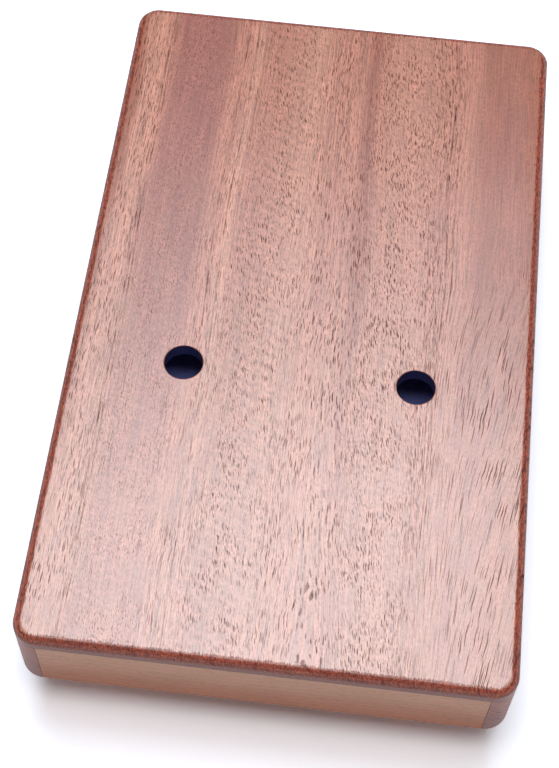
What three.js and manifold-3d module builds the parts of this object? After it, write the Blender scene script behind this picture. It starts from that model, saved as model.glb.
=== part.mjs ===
// A seventeen-key thumb piano on a hollow wooden box, lying face down with its back up.
// Lengths are millimetres. X runs across the box, Y along it towards the bridge end, Z up.
// Z = 0 is the surface that it lies on: the screw heads and the tips of the tines touch it.

import * as THREE from 'three';
import { mergeVertices } from 'three/addons/utils/BufferGeometryUtils.js';
import Module from 'manifold-3d';

const wasm = await Module();
wasm.setup();

// Box
const boxLength = 200;
const boxWidth = 120;
const cornerRadius = 6;
const railHeight = 20;
const sideRailThickness = 6;
const endRailThickness = 8;
const railEdgeRound = 1;
const backThickness = 4.2;
const backEdgeRound = 2.2;
const faceThickness = 3.5;
const rabbetWidth = 3;
const rabbetCornerRadius = 4;
const blockHeight = 10;
const blockLength = 40;

// Holes in the two plates, placed from the near end
const fingerHoleDiameter = 10;
const fingerHoleSpacing = 60;
const fingerHoleFromNearEnd = 80;
const soundHoleDiameter = 34;
const soundHoleFromNearEnd = 48;
const soundHoleChamfer = 0.8;

// Bridges, placed from the far end
const saddleFromFarEnd = 48;
const barFromSaddle = 9;
const rearRodFromSaddle = 18;
const bridgeWidth = 106;
const bridgeHeight = 6;
const bridgeBevel = 0.6;
const saddleBridgeBase = 12;
const saddleBridgeCrest = 6;
const rearBridgeBase = 9;
const rearBridgeCrest = 6;

// Rods and the pressure bar
const rodDiameter = 3;
const rodLength = 104;
const rodProud = 1.7;
const barDiameter = 4.5;
const barLength = 105;
const rodChamfer = 0.4;

// Tines
const tineCount = 17;
const tinePitch = 6.2;
const tineWidth = 3.5;
const tineThickness = 0.9;
const tipWidth = 4.7;
const tipThickness = 0.6;
const longestSpeakingLength = 66;
const straightRun = 4.5;
const tipFlare = 14;
const tailOverhang = 10;
const tailRound = 1;

// Screws through the pressure bar
const screwDiameter = 2;
const screwHeadDiameter = 4.2;
const screwHeadHeight = 1.5;
const screwHeadEdge = 0.5;
const screwDepthInBlock = 8;
const screwPoint = 3;
// Where each screw stands along the row of tines, with whole tines on both sides of it
const screwPlaceShares = [2, 6, 11, 15].map((count) => count / tineCount);

// Gaps and the overrun of cuts
const glueLine = 0.1;
const clearance = 0.3;
const overrun = 1;

// A tine half as long sounds two octaves higher
const majorScaleSemitones = [0, 2, 4, 5, 7, 9, 11];
const semitonesPerOctave = 12;
const semitonesPerHalving = 24;

// How a tine leaves the straight line: a long rise and a curl at its tip
const curlShare = 0.3;
const risePower = 1.25;
const curlPower = 6;

// Smoothness of round forms
const cornerSegments = 8;
const edgeSegments = 4;
const holeSegments = 32;
const soundHoleSegments = 64;
const rodSegments = 24;
const screwSegments = 12;
const riseSteps = 9;
const tipSteps = 4;
const tipRoundShare = 0.94;

// Heights are counted from the outer side of the face plate towards the surface that the box lies on
const rodCrest = glueLine + bridgeHeight + rodProud;
const tineInner = rodCrest + clearance;
const tineOuter = tineInner + tineThickness;
const barInner = tineOuter + clearance;
const headInner = barInner + barDiameter + glueLine;
const standHeight = headInner + screwHeadHeight;

// Places along the box
const saddleY = boxLength / 2 - saddleFromFarEnd;
const barY = saddleY + barFromSaddle;
const rearRodY = saddleY + rearRodFromSaddle;
const fingerHoleY = fingerHoleFromNearEnd - boxLength / 2;
const soundHoleY = soundHoleFromNearEnd - boxLength / 2;
const screwXs = screwPlaceShares.map((share) => (share - 1 / 2) * tineCount * tinePitch);

const woods = {
  back: { color: 0xb98272, roughness: 0.42, metalness: 0 },
  side: { color: 0x7d4c42, roughness: 0.45, metalness: 0 },
  end: { color: 0xc59f7c, roughness: 0.5, metalness: 0 },
  bridge: { color: 0x6b3f33, roughness: 0.5, metalness: 0 },
  block: { color: 0xcdb08a, roughness: 0.8, metalness: 0 },
};
const metals = {
  tine: { color: 0xc9ccce, roughness: 0.28, metalness: 1 },
  rod: { color: 0xd4d6d8, roughness: 0.16, metalness: 1 },
  screw: { color: 0xb9bbbd, roughness: 0.3, metalness: 1 },
};

const kalimba = new THREE.Group();

function addMesh(parent, name, geometry, finish) {
  const mesh = new THREE.Mesh(geometry, new THREE.MeshStandardMaterial(finish));
  mesh.name = name;
  parent.add(mesh);
  return mesh;
}

function toSolid(geometry) {
  geometry.deleteAttribute('normal');
  geometry.deleteAttribute('uv');
  const merged = mergeVertices(geometry);
  const vertProperties = Float32Array.from(merged.attributes.position.array);
  const triVerts = Uint32Array.from(merged.index.array);
  return new wasm.Manifold(new wasm.Mesh({ numProp: 3, vertProperties, triVerts }));
}

function toGeometry(solid) {
  const { vertProperties, triVerts } = solid.getMesh();
  const geometry = new THREE.BufferGeometry();
  geometry.setAttribute('position', new THREE.BufferAttribute(vertProperties, 3));
  geometry.setIndex(new THREE.BufferAttribute(triVerts, 1));
  geometry.computeVertexNormals();
  return geometry;
}

// Skins a stack of rings, each anticlockwise when seen from the last ring's side
function loft(rings) {
  const sides = rings[0].length;
  const last = (rings.length - 1) * sides;
  const faces = [];
  for (let start = 0; start < last; start += sides) {
    for (let side = 0; side < sides; side += 1) {
      const here = start + side;
      const beside = start + (side + 1) % sides;
      faces.push(here, beside, beside + sides, here, beside + sides, here + sides);
    }
  }
  for (let side = 1; side + 1 < sides; side += 1) {
    faces.push(0, side + 1, side, last, last + side, last + side + 1);
  }
  const geometry = new THREE.BufferGeometry().setFromPoints(rings.flat());
  geometry.setIndex(faces);
  geometry.computeVertexNormals();
  return geometry;
}

function roundedRing(width, length, radius, z) {
  const ring = [];
  for (let corner = 0; corner < 4; corner += 1) {
    const acrossSign = corner === 0 || corner === 3 ? 1 : -1;
    const alongSign = corner < 2 ? 1 : -1;
    for (let step = 0; step <= cornerSegments; step += 1) {
      const angle = (corner + step / cornerSegments) * Math.PI / 2;
      const x = acrossSign * (width / 2 - radius) + radius * Math.cos(angle);
      const y = alongSign * (length / 2 - radius) + radius * Math.sin(angle);
      ring.push(new THREE.Vector3(x, y, z));
    }
  }
  return ring;
}

// A slab with round corners in plan, whose lower and upper edges may be rounded over
function slab({ width, length, radius, height, lowerRound = 0, upperRound = 0 }) {
  const levels = [];
  const steps = Array.from({ length: edgeSegments + 1 }, (_, step) => step / edgeSegments * Math.PI / 2);
  for (const angle of lowerRound > 0 ? steps : [Math.PI / 2]) {
    levels.push([lowerRound * (1 - Math.sin(angle)), lowerRound * (1 - Math.cos(angle))]);
  }
  for (const angle of upperRound > 0 ? steps : [0]) {
    levels.push([upperRound * (1 - Math.cos(angle)), height - upperRound * (1 - Math.sin(angle))]);
  }
  return loft(levels.map(([inset, z]) => roundedRing(width - 2 * inset, length - 2 * inset, radius - inset, z)));
}

function uprightCylinder(diameter, bottom, top, x, y, segments) {
  const cylinder = new THREE.CylinderGeometry(diameter / 2, diameter / 2, top - bottom, segments);
  return cylinder.rotateX(Math.PI / 2).translate(x, y, (top + bottom) / 2);
}

// A round rod across the box, with chamfered ends
function crossRod(diameter, length) {
  const radius = diameter / 2;
  const profile = [
    new THREE.Vector2(0, -length / 2),
    new THREE.Vector2(radius - rodChamfer, -length / 2),
    new THREE.Vector2(radius, rodChamfer - length / 2),
    new THREE.Vector2(radius, length / 2 - rodChamfer),
    new THREE.Vector2(radius - rodChamfer, length / 2),
    new THREE.Vector2(0, length / 2),
  ];
  return new THREE.LatheGeometry(profile, rodSegments).rotateZ(Math.PI / 2);
}

// The four rails, the plates and the block that the screws bite into
function buildBox() {
  const box = new THREE.Group();
  box.position.z = standHeight;
  kalimba.add(box);
  const faceWidth = boxWidth - 2 * (sideRailThickness - rabbetWidth);
  const faceLength = boxLength - 2 * (endRailThickness - rabbetWidth);
  const pocket = {
    width: faceWidth + 2 * glueLine,
    length: faceLength + 2 * glueLine,
    radius: rabbetCornerRadius + glueLine,
    height: faceThickness + glueLine + overrun,
  };
  const envelope = {
    width: boxWidth, length: boxLength, radius: cornerRadius, height: railHeight, lowerRound: railEdgeRound,
  };
  const insideWidth = boxWidth - 2 * sideRailThickness;

  function rail(width, length, x, y) {
    const board = new THREE.BoxGeometry(width, length, railHeight + 2 * overrun).translate(x, y, railHeight / 2);
    const shaped = toSolid(board).intersect(toSolid(slab(envelope)));
    return toGeometry(shaped.subtract(toSolid(slab(pocket).translate(0, 0, -overrun))));
  }

  const sideX = (boxWidth - sideRailThickness + overrun) / 2;
  const endY = (boxLength - endRailThickness + overrun) / 2;
  const sideWidth = sideRailThickness + overrun;
  const endLength = endRailThickness + overrun;
  const endWidth = insideWidth - 2 * glueLine;
  addMesh(box, 'side_rail_left', rail(sideWidth, boxLength + overrun, -sideX, 0), woods.side);
  addMesh(box, 'side_rail_right', rail(sideWidth, boxLength + overrun, sideX, 0), woods.side);
  addMesh(box, 'end_rail_near', rail(endWidth, endLength, 0, -endY), woods.end);
  addMesh(box, 'end_rail_far', rail(endWidth, endLength, 0, endY), woods.end);
  addBackPlate(box);
  addFacePlate(box, faceWidth, faceLength);
  addScrewBlock(box, insideWidth);
}

function addBackPlate(box) {
  let plate = toSolid(slab({
    width: boxWidth, length: boxLength, radius: cornerRadius, height: backThickness, upperRound: backEdgeRound,
  }));
  for (const x of [-fingerHoleSpacing / 2, fingerHoleSpacing / 2]) {
    const top = backThickness + overrun;
    plate = plate.subtract(toSolid(
      uprightCylinder(fingerHoleDiameter, -overrun, top, x, fingerHoleY, holeSegments)));
  }
  addMesh(box, 'back_plate', toGeometry(plate), woods.back).position.z = railHeight + glueLine;
}

// The face plate lies in the rabbet of the rails, flush with their lower edges
function addFacePlate(box, width, length) {
  let plate = toSolid(slab({ width, length, radius: rabbetCornerRadius, height: faceThickness }));
  const holeRadius = soundHoleDiameter / 2;
  const cutter = new THREE.LatheGeometry([
    new THREE.Vector2(0, -overrun),
    new THREE.Vector2(holeRadius + soundHoleChamfer + overrun, -overrun),
    new THREE.Vector2(holeRadius, soundHoleChamfer),
    new THREE.Vector2(holeRadius, faceThickness + overrun),
    new THREE.Vector2(0, faceThickness + overrun),
  ], soundHoleSegments);
  plate = plate.subtract(toSolid(cutter.rotateX(Math.PI / 2).translate(0, soundHoleY, 0)));
  plate = drillForScrews(plate, faceThickness);
  addMesh(box, 'face_plate', toGeometry(plate), woods.back);
}

function addScrewBlock(box, insideWidth) {
  const block = new THREE.BoxGeometry(insideWidth - 2 * glueLine, blockLength, blockHeight);
  const drilled = drillForScrews(toSolid(block.translate(0, barY, blockHeight / 2)), blockHeight);
  addMesh(box, 'screw_block', toGeometry(drilled), woods.block).position.z = faceThickness + glueLine;
}

function drillForScrews(solid, depth) {
  const hole = screwDiameter + 2 * clearance;
  return screwXs.reduce((rest, x) => rest.subtract(
    toSolid(uprightCylinder(hole, -overrun, depth + overrun, x, barY, screwSegments))), solid);
}

// A wooden bridge with sloping sides and a groove along its crest for a rod
function bridge(base, crest, y) {
  const outline = new THREE.Shape([
    new THREE.Vector2(-base / 2, 0),
    new THREE.Vector2(-crest / 2, -bridgeHeight),
    new THREE.Vector2(crest / 2, -bridgeHeight),
    new THREE.Vector2(base / 2, 0),
  ]);
  const blank = new THREE.ExtrudeGeometry(outline, {
    depth: bridgeWidth - 2 * bridgeBevel,
    bevelSize: bridgeBevel,
    bevelOffset: -bridgeBevel,
    bevelThickness: bridgeBevel,
    bevelSegments: 1,
  });
  const alongBox = new THREE.Vector3(0, 1, 0);
  const upward = new THREE.Vector3(0, 0, 1);
  const acrossBox = new THREE.Vector3(1, 0, 0);
  blank.applyMatrix4(new THREE.Matrix4().makeBasis(alongBox, upward, acrossBox));
  blank.translate(bridgeBevel - bridgeWidth / 2, y, -glueLine);
  const grooveRadius = rodDiameter / 2 + clearance;
  const groove = new THREE.CylinderGeometry(grooveRadius, grooveRadius, bridgeWidth + overrun, rodSegments);
  groove.rotateZ(Math.PI / 2).translate(0, y, rodDiameter / 2 - rodCrest);
  return toGeometry(toSolid(blank).subtract(toSolid(groove)));
}

function pressureBar() {
  const hole = screwDiameter + 2 * clearance;
  const reach = barDiameter / 2 + overrun;
  const drilled = screwXs.reduce((rest, x) => rest.subtract(
    toSolid(uprightCylinder(hole, -reach, reach, x, 0, screwSegments))), toSolid(crossRod(barDiameter, barLength)));
  return toGeometry(drilled);
}

// A pan-headed wood screw: its head is below and its point is up in the block
function screw() {
  const shank = headInner + faceThickness + glueLine + screwDepthInBlock;
  const radius = screwDiameter / 2;
  const headRadius = screwHeadDiameter / 2;
  const profile = [
    new THREE.Vector2(0, -shank),
    new THREE.Vector2(radius, screwPoint - shank),
    new THREE.Vector2(radius, 0),
    new THREE.Vector2(headRadius, 0),
    new THREE.Vector2(headRadius, screwHeadHeight - screwHeadEdge),
    new THREE.Vector2(headRadius - screwHeadEdge, screwHeadHeight),
    new THREE.Vector2(0, screwHeadHeight),
  ];
  return new THREE.LatheGeometry(profile, screwSegments).rotateX(-Math.PI / 2);
}

function buildHardware() {
  const hardware = new THREE.Group();
  hardware.position.z = standHeight;
  kalimba.add(hardware);
  const rodZ = rodDiameter / 2 - rodCrest;
  const barZ = -barInner - barDiameter / 2;
  addMesh(hardware, 'saddle_bridge', bridge(saddleBridgeBase, saddleBridgeCrest, saddleY), woods.bridge);
  addMesh(hardware, 'rear_bridge', bridge(rearBridgeBase, rearBridgeCrest, rearRodY), woods.bridge);
  addMesh(hardware, 'saddle_rod', crossRod(rodDiameter, rodLength), metals.rod).position.set(0, saddleY, rodZ);
  addMesh(hardware, 'rear_rod', crossRod(rodDiameter, rodLength), metals.rod).position.set(0, rearRodY, rodZ);
  addMesh(hardware, 'pressure_bar', pressureBar(), metals.rod).position.set(0, barY, barZ);
  screwXs.forEach((x, index) => {
    addMesh(hardware, `pressure_screw_${index + 1}`, screw(), metals.screw).position.set(x, barY, -headInner);
  });
}

// A flat strip that runs towards the near end. A station gives a point on its outer side and its slope there.
function strip(stations) {
  return loft(stations.map(({ along, drop, slope, width, thickness }) => {
    const outer = new THREE.Vector3(0, -along, -drop);
    const inner = outer.clone().add(new THREE.Vector3(0, -Math.sin(slope), Math.cos(slope)).multiplyScalar(thickness));
    return [[outer, -1], [outer, 1], [inner, 1], [inner, -1]].map(([point, sign]) => {
      return point.clone().setX(sign * width / 2);
    });
  }));
}

// The half of a tine behind the saddle: straight, clamped under the bar, with a rounded tail
function tineRoot() {
  const tail = rearRodFromSaddle + tailOverhang;
  const end = clearance / 2;
  const plain = { drop: 0, slope: 0, thickness: tineThickness };
  return strip([
    { ...plain, along: -tail, width: tineWidth - 2 * tailRound },
    { ...plain, along: tailRound - tail, width: tineWidth },
    { ...plain, along: -end, width: tineWidth },
  ]);
}

// The half of a tine before the saddle: it rises off the straight line and ends in a wide round tip
function tineTongue(speakingLength) {
  const rise = standHeight - tineOuter;
  const run = speakingLength - straightRun;
  const flareStart = speakingLength - tipFlare;
  const stations = [];

  function addStation(along, widthShare) {
    const share = Math.max(0, (along - straightRun) / run);
    const drop = rise * ((1 - curlShare) * share ** risePower + curlShare * share ** curlPower);
    const riseRate = (1 - curlShare) * risePower * share ** (risePower - 1);
    const curlRate = curlShare * curlPower * share ** (curlPower - 1);
    const slope = Math.atan(rise / run * (riseRate + curlRate));
    const flare = THREE.MathUtils.smoothstep(along, flareStart, speakingLength - tipWidth / 2);
    const width = THREE.MathUtils.lerp(tineWidth, tipWidth, flare) * widthShare;
    const thickness = THREE.MathUtils.lerp(tineThickness, tipThickness, flare);
    stations.push({ along, drop, slope, width, thickness });
  }

  const roundStart = speakingLength - tipWidth / 2;
  const roundSweep = tipRoundShare * Math.PI / 2;
  addStation(clearance / 2, 1);
  for (let step = 0; step <= riseSteps; step += 1) {
    addStation(THREE.MathUtils.lerp(straightRun, roundStart, step / riseSteps), 1);
  }
  for (let step = 1; step <= tipSteps; step += 1) {
    const angle = step / tipSteps * roundSweep;
    addStation(roundStart + Math.sin(angle) / Math.sin(roundSweep) * tipWidth / 2, Math.cos(angle));
  }
  return strip(stations);
}

// Notes alternate from the middle: the lowest in the centre, the next on the +X side, then the -X side
function speakingLengthAt(offset) {
  const note = offset > 0 ? 2 * offset - 1 : -2 * offset;
  const octave = Math.floor(note / majorScaleSemitones.length);
  const semitones = semitonesPerOctave * octave + majorScaleSemitones[note % majorScaleSemitones.length];
  return longestSpeakingLength / 2 ** (semitones / semitonesPerHalving);
}

function buildTines() {
  for (let index = 0; index < tineCount; index += 1) {
    const offset = index - (tineCount - 1) / 2;
    const tine = new THREE.Group();
    tine.position.set(offset * tinePitch, saddleY, standHeight - tineOuter);
    kalimba.add(tine);
    const name = `tine_${String(index + 1).padStart(2, '0')}`;
    addMesh(tine, `${name}_root`, tineRoot(), metals.tine);
    addMesh(tine, name, tineTongue(speakingLengthAt(offset)), metals.tine);
  }
}

buildBox();
buildHardware();
buildTines();

export default kalimba;
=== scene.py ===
"""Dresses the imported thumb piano: lacquered box, bridges, rods, pressure bar and seventeen steel tines."""
import logging
import math
from dataclasses import dataclass, field
from enum import Enum
from typing import Any, Sequence, Union

import bmesh
import bpy
from mathutils import Matrix, Vector


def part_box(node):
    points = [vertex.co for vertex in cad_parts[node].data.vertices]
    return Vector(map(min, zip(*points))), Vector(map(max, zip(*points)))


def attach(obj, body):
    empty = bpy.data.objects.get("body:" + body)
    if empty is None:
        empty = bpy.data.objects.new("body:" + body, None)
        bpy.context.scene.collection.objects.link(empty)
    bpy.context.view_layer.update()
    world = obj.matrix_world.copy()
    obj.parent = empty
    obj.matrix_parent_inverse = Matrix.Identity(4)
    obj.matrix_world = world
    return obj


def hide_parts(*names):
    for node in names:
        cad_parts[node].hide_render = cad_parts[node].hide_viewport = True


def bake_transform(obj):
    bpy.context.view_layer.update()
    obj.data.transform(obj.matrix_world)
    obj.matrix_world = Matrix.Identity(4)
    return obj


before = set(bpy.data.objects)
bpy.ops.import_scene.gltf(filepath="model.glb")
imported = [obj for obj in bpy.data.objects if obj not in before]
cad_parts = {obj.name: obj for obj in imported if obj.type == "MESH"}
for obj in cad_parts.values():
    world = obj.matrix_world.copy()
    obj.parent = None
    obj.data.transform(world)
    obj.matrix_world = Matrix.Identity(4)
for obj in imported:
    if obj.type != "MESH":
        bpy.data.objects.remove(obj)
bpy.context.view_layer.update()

MM = 0.001
QUARTER_TURN = math.pi / 2.0
WOOD_IOR = 1.5
WHITE = (1.0, 1.0, 1.0)
log = logging.getLogger("kalimba")

Colour = tuple[float, float, float]
Point = tuple[float, float, float]
Value = Union[float, "Socket"]


# Shader maths


@dataclass(frozen=True, eq=False)
class Socket:
    """A number, colour or vector inside a material. Operators on numbers add Math nodes."""

    graph: "Graph"
    output: bpy.types.NodeSocket

    def __add__(self, other: Value) -> "Socket":
        """Self plus other."""
        return self.graph.math("ADD", self, other)

    def __radd__(self, other: Value) -> "Socket":
        """Other plus self."""
        return self.graph.math("ADD", other, self)

    def __sub__(self, other: Value) -> "Socket":
        """Self minus other."""
        return self.graph.math("SUBTRACT", self, other)

    def __rsub__(self, other: Value) -> "Socket":
        """Other minus self."""
        return self.graph.math("SUBTRACT", other, self)

    def __mul__(self, other: Value) -> "Socket":
        """Self times other."""
        return self.graph.math("MULTIPLY", self, other)

    def __rmul__(self, other: Value) -> "Socket":
        """Other times self."""
        return self.graph.math("MULTIPLY", other, self)

    def __truediv__(self, other: Value) -> "Socket":
        """Self over other."""
        return self.graph.math("DIVIDE", self, other)

    def __rtruediv__(self, other: Value) -> "Socket":
        """Other over self."""
        return self.graph.math("DIVIDE", other, self)

    def __abs__(self) -> "Socket":
        """Self without its sign."""
        return self.graph.math("ABSOLUTE", self)

    def __pow__(self, other: Value) -> "Socket":
        """Self to the power other."""
        return self.graph.math("POWER", self, other)

    def clamp(self) -> "Socket":
        """Self kept between 0 and 1."""
        return self.graph.read("ShaderNodeClamp", "Result", values={"Value": self})

    def over(self, limit: float) -> "Socket":
        """Self, or the limit where self is smaller."""
        return self.graph.math("MAXIMUM", self, limit)

    def rise(self, start: Value, end: Value) -> "Socket":
        """A smooth step of self.

        Args:
            start: Where the step leaves 0.
            end: Where the step reaches 1. It may be below start, for a falling step.

        Returns:
            0 before start, 1 after end, and a smooth ramp between them.
        """
        if isinstance(start, float) and isinstance(end, float) and end < start:
            return 1.0 - self.rise(end, start)
        settings = {"interpolation_type": "SMOOTHSTEP"}
        values = {"Value": self, "From Min": start, "From Max": end}
        return self.graph.read("ShaderNodeMapRange", "Result", settings, values)


class Graph:
    """The nodes of one material, or of the world."""

    def __init__(self, name: str, world: bool = False) -> None:
        """Starts an empty material or world.

        Args:
            name: Its name.
            world: True for a world.
        """
        self.owner = (bpy.data.worlds if world else bpy.data.materials).new(name)
        self.owner.use_nodes = True
        self.tree = self.owner.node_tree
        self.tree.nodes.clear()

    def node(
        self, kind: str, settings: dict[str, Any] | None = None, values: dict[str | int, Any] | None = None
    ) -> bpy.types.Node:
        """Adds a node.

        Args:
            kind: The node's type.
            settings: Its options, set first. "stops" is a colour ramp's list of (place, colour).
            values: What its sockets hold, by name or number: a Socket is linked, and anything else is stored.

        Returns:
            The new node.
        """
        made = self.tree.nodes.new(kind)
        for name, setting in (settings or {}).items():
            if name == "stops":
                self._set_stops(made.color_ramp, setting)
            else:
                setattr(made, name, setting)
        for key, value in (values or {}).items():
            socket = made.inputs[key]
            if isinstance(value, Socket):
                self.tree.links.new(value.output, socket)
            else:
                socket.default_value = value
        return made

    @staticmethod
    def _set_stops(ramp: bpy.types.ColorRamp, stops: Sequence[tuple[float, tuple[float, ...]]]) -> None:
        """Gives a colour ramp its stops.

        Args:
            ramp: The ramp.
            stops: Place from 0 to 1 and colour, as four numbers, of each stop in order.
        """
        while len(ramp.elements) < len(stops):
            ramp.elements.new(0.5)
        for element, (place, _) in zip(ramp.elements, stops):
            element.position = place
        for element, (place, colour) in zip(ramp.elements, stops):
            element.position = place
            element.color = colour

    def read(
        self, kind: str, output: str | int, settings: dict[str, Any] | None = None,
        values: dict[str | int, Any] | None = None,
    ) -> Socket:
        """Adds a node and gives one of its outputs.

        Args:
            kind: The node's type.
            output: The output's name or number.
            settings: As in node().
            values: As in node().

        Returns:
            The output as a Socket.
        """
        return Socket(self, self.node(kind, settings, values).outputs[output])

    def math(self, operation: str, first: Value, second: Value = 0.0) -> Socket:
        """A Math node on one or two numbers."""
        return self.read("ShaderNodeMath", "Value", {"operation": operation}, {0: first, 1: second})

    def vector(self, operation: str, first: Any, second: Any) -> Socket:
        """A Vector Math node.

        Args:
            operation: Its operation. SCALE takes a number second, and the others a vector.
            first: The first vector.
            second: The second vector or the number.

        Returns:
            The resulting vector.
        """
        place = 3 if operation == "SCALE" else 1
        return self.read("ShaderNodeVectorMath", "Vector", {"operation": operation}, {0: first, place: second})

    def combine(self, x: Value, y: Value, z: Value) -> Socket:
        """A vector from three numbers."""
        return self.read("ShaderNodeCombineXYZ", "Vector", values={"X": x, "Y": y, "Z": z})

    def split(self, vector: Socket) -> tuple[Socket, Socket, Socket]:
        """The three numbers of a vector."""
        parts = self.node("ShaderNodeSeparateXYZ", values={"Vector": vector})
        return Socket(self, parts.outputs["X"]), Socket(self, parts.outputs["Y"]), Socket(self, parts.outputs["Z"])

    def mix(self, factor: Value, first: Any, second: Any) -> Socket:
        """Mixes two colours.

        Args:
            factor: The second colour's share.
            first: A colour, as a Socket or three numbers.
            second: The other colour.

        Returns:
            The mixed colour.
        """
        settings = {"data_type": "RGBA", "blend_type": "MIX", "clamp_factor": True}
        first, second = ((*c, 1.0) if isinstance(c, tuple) else c for c in (first, second))
        return self.read("ShaderNodeMix", 2, settings, {0: factor, 6: first, 7: second})

    def mix_shaders(self, factor: Value, first: Socket, second: Socket) -> Socket:
        """Mixes two shaders, where the factor is the second one's share."""
        return self.read("ShaderNodeMixShader", "Shader", values={0: factor, 1: first, 2: second})

    def brighten(self, colour: Any, amount: Value) -> Socket:
        """A colour times a number."""
        return self.vector("SCALE", colour, amount)

    def noise(self, place: Socket, scale: float = 1.0, detail: float = 2.0, roughness: float = 0.5) -> Socket:
        """Smooth noise from 0 to 1 at a place.

        Args:
            place: Where it is read.
            scale: How many lumps a unit of length holds.
            detail: How many finer layers it has.
            roughness: How strong the finer layers are.

        Returns:
            The noise.
        """
        values = {"Vector": place, "Scale": scale, "Detail": detail, "Roughness": roughness}
        return self.read("ShaderNodeTexNoise", "Fac", values=values)

    def lumps(self, place: Sequence[Value], sizes: Point, detail: float, roughness: float = 0.5) -> Socket:
        """Smooth noise whose lumps are stretched.

        Args:
            place: Where it is read, as three numbers in millimetres.
            sizes: The lumps' size along each of the three.
            detail: How many finer layers it has.
            roughness: How strong the finer layers are.

        Returns:
            The noise, from 0 to 1.
        """
        x, y, z = (along / size for along, size in zip(place, sizes))
        return self.noise(self.combine(x, y, z), detail=detail, roughness=roughness)

    def place_in_mm(self) -> Socket:
        """The place on the object, in millimetres of the row frame."""
        return self.vector("SCALE", self.read("ShaderNodeTexCoord", "Object"), 1.0 / MM)

    def bump(self, height: Socket, depth_mm: float) -> Socket:
        """A normal that follows a height map.

        Args:
            height: The height, from 0 to 1.
            depth_mm: How many millimetres a height of 1 stands for.

        Returns:
            The bent normal.
        """
        values = {"Strength": 1.0, "Distance": depth_mm * MM, "Height": height}
        return self.read("ShaderNodeBump", "Normal", values=values)

    def principled(self, **values: Any) -> Socket:
        """A Principled shader.

        Args:
            **values: Its sockets' values or links, with underscores for the spaces in their names.

        Returns:
            The shader.
        """
        named = {key.replace("_", " "): value for key, value in values.items()}
        if isinstance(named["Base Color"], tuple):
            named["Base Color"] = (*named["Base Color"], 1.0)
        return self.read("ShaderNodeBsdfPrincipled", "BSDF", values=named)

    def rays(self, *kinds: str) -> Socket:
        """1 for light rays of the named kinds, and 0 for all others."""
        path = self.node("ShaderNodeLightPath")
        first, *others = (Socket(self, path.outputs[f"Is {kind} Ray"]) for kind in kinds)
        return sum(others, first).clamp()

    def unbounced(self) -> Socket:
        """1 for rays that no dull surface has scattered yet, and 0 for all others."""
        return (1.0 - self.read("ShaderNodeLightPath", "Diffuse Depth")).over(0.0)

    def end(self, shader: Socket) -> bpy.types.Material | bpy.types.World:
        """Links a shader to the output and gives the material or world."""
        kind = "World" if isinstance(self.owner, bpy.types.World) else "Material"
        self.node(f"ShaderNodeOutput{kind}", values={"Surface": shader})
        return self.owner


# Finishes


class GrainWay(Enum):
    """Which way a board's fibres run."""

    ALONG_BOX = "Y"
    ACROSS_BOX = "X"


@dataclass(frozen=True)
class Pores:
    """One kind of pore in wood: short dark dashes along the fibres, in millimetres.

    Width and length are the dashes' spacing, fill is the largest dash's half size as a share of it, and lean is
    how far a dash leans across the board for each millimetre along it.
    """

    width: float
    length: float
    fill: float = 0.42
    lean: float = 0.0

    def show(self, g: Graph, across: Value, along: Value, depth: Value) -> Socket:
        """Lays the pores over the wood.

        Args:
            g: The material's nodes.
            across: Place across the fibres.
            along: Place along the fibres.
            depth: Place through the board.

        Returns:
            1 inside a pore and 0 outside, with a soft edge.
        """
        leaning = across + along * self.lean + depth * 0.7
        cell = g.combine(leaning / self.width, along / self.length + 0.4, 0.0)
        settings = {"voronoi_dimensions": "2D", "feature": "F1"}
        node = g.node("ShaderNodeTexVoronoi", settings, {"Vector": cell, "Scale": 1.0, "Randomness": 1.0})
        luck, _, _ = g.split(Socket(g, node.outputs["Color"]))
        reach = luck * (0.7 * self.fill) + 0.3 * self.fill
        return (1.0 - Socket(g, node.outputs["Distance"]) / reach).rise(0.0, 0.4)


@dataclass(frozen=True)
class Streaks:
    """Long soft lines along the fibres, with their width and length in millimetres."""

    width: float
    length: float

    def show(self, g: Graph, across: Value, along: Value, depth: Value) -> Socket:
        """Lays the streaks over the wood.

        Args:
            g: The material's nodes.
            across: Place across the fibres.
            along: Place along the fibres.
            depth: Place through the board.

        Returns:
            Their tone, from 0 to 1 round a middle of 0.5.
        """
        return g.lumps((across, along, depth), (self.width, self.length, self.width), 2.0, 0.6)


class BoardTone(Enum):
    """The colours that the red-brown board's ribbons have under the lacquer."""

    PALE = (0.740, 0.325, 0.225)
    TAN = (0.690, 0.285, 0.195)
    ROSE = (0.635, 0.245, 0.167)
    DUSK = (0.480, 0.157, 0.118)
    RUSSET = (0.475, 0.150, 0.098)
    RIM = (0.450, 0.130, 0.068)


BOARD_WIDTH = 120.0


@dataclass(frozen=True)
class Ribbon:
    """One ribbon of the board, at its place across it in millimetres, with how strongly each figure shows."""

    place: float
    tone: BoardTone
    streaks: float
    upright: float
    leaning: float = 0.0
    slanted: float = 0.0
    flecks: float = 0.3

    @property
    def share(self) -> float:
        """The ribbon's place across the board, from 0 to 1."""
        return self.place / BOARD_WIDTH + 0.5


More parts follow.
